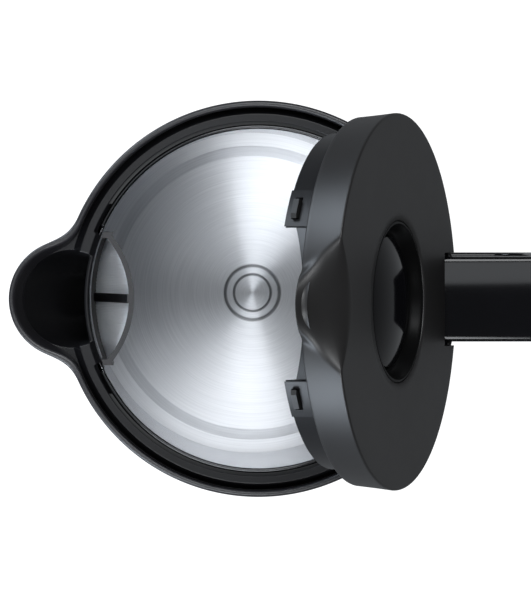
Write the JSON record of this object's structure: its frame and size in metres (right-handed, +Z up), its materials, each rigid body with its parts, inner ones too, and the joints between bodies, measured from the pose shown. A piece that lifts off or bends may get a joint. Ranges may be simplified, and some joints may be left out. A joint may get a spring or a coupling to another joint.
{
  "type": "electric kettle",
  "caption": "Cordless jug kettle: steel pot in a plastic shell, spout with lift-out filter, D handle, sprung hinged lid with a push button latch, rocker switch.",
  "frame": {"origin": "on the body's axis at the plane that the kettle stands on", "axes": "+Z up, spout along -X, handle along +X"},
  "size_m": [0.2264, 0.152, 0.3295],
  "materials": {
    "satin_black": "satin",
    "lid_grey": "satin",
    "gloss_black": "gloss",
    "inner_black": "matte",
    "beige_plastic": "matte",
    "steel": "brushed",
    "bright_steel": "polished",
    "aluminium": "satin",
    "brass": "satin",
    "silicone": "matte"
  },
  "bodies": {
    "kettle_body": {"outer_shell": "satin_black", "top_collar": "satin_black", "pot_gasket": "silicone", "inner_pot": "steel", "floor_plate": "steel", "heat_spreader": "aluminium", "heating_element": "bright_steel", "element_terminals": "bright_steel", "thermal_control": "beige_plastic", "control_studs": "bright_steel", "control_nuts": "bright_steel", "power_socket": "inner_black", "contact_rings": "brass", "bottom_cover": "inner_black", "bottom_screws": "bright_steel", "steam_tube": "silicone", "steam_switch": "beige_plastic", "switch_bracket": "inner_black", "switch_pivot": "bright_steel", "handle_shell": "gloss_black", "handle_liner": "satin_black", "handle_screws": "bright_steel", "hinge_block": "inner_black", "hinge_pin": "bright_steel", "hinge_spring": "bright_steel", "filter_frame": "satin_black", "filter_mesh": "bright_steel"},
    "lid": {"lid_cover": "lid_grey", "lid_base": "satin_black", "lid_screws": "bright_steel", "button_bezel": "gloss_black", "latch_spring": "bright_steel", "button_spring": "bright_steel"},
    "button": {"lid_button": "gloss_black"},
    "latch": {"latch_slider": "inner_black"},
    "switch": {"switch_lever": "gloss_black"}
  },
  "joints": [
    {"name": "lid_hinge", "type": "hinge", "parent": "kettle_body", "child": "lid", "pos_m": [0.063, 0, 0.2024], "axis": [0, 1, 0], "range_deg": [-69.5, 0], "stiffness_Nm_per_rad": 0.09, "springref_deg": 34.38},
    {"name": "button_press", "type": "slide", "parent": "lid", "child": "button", "axis": [-0.9367, 0, -0.3502], "range_m": [0, 0.0035], "stiffness_N_per_m": 500, "springref_m": -0.001, "deforming": ["button_spring"]},
    {"name": "latch_slide", "type": "slide", "parent": "lid", "child": "latch", "axis": [0.3502, 0, -0.9367], "range_m": [0, 0.003], "stiffness_N_per_m": 150, "springref_m": -0.001, "deforming": ["latch_spring"]},
    {"name": "switch_rock", "type": "hinge", "parent": "kettle_body", "child": "switch", "pos_m": [0.069, 0, 0.024], "axis": [0, 1, 0], "range_deg": [0, 10]}
  ],
  "couplings": [
    {"joint": "latch_slide", "follows": "button_press", "ratio": 0.85714}
  ]
}
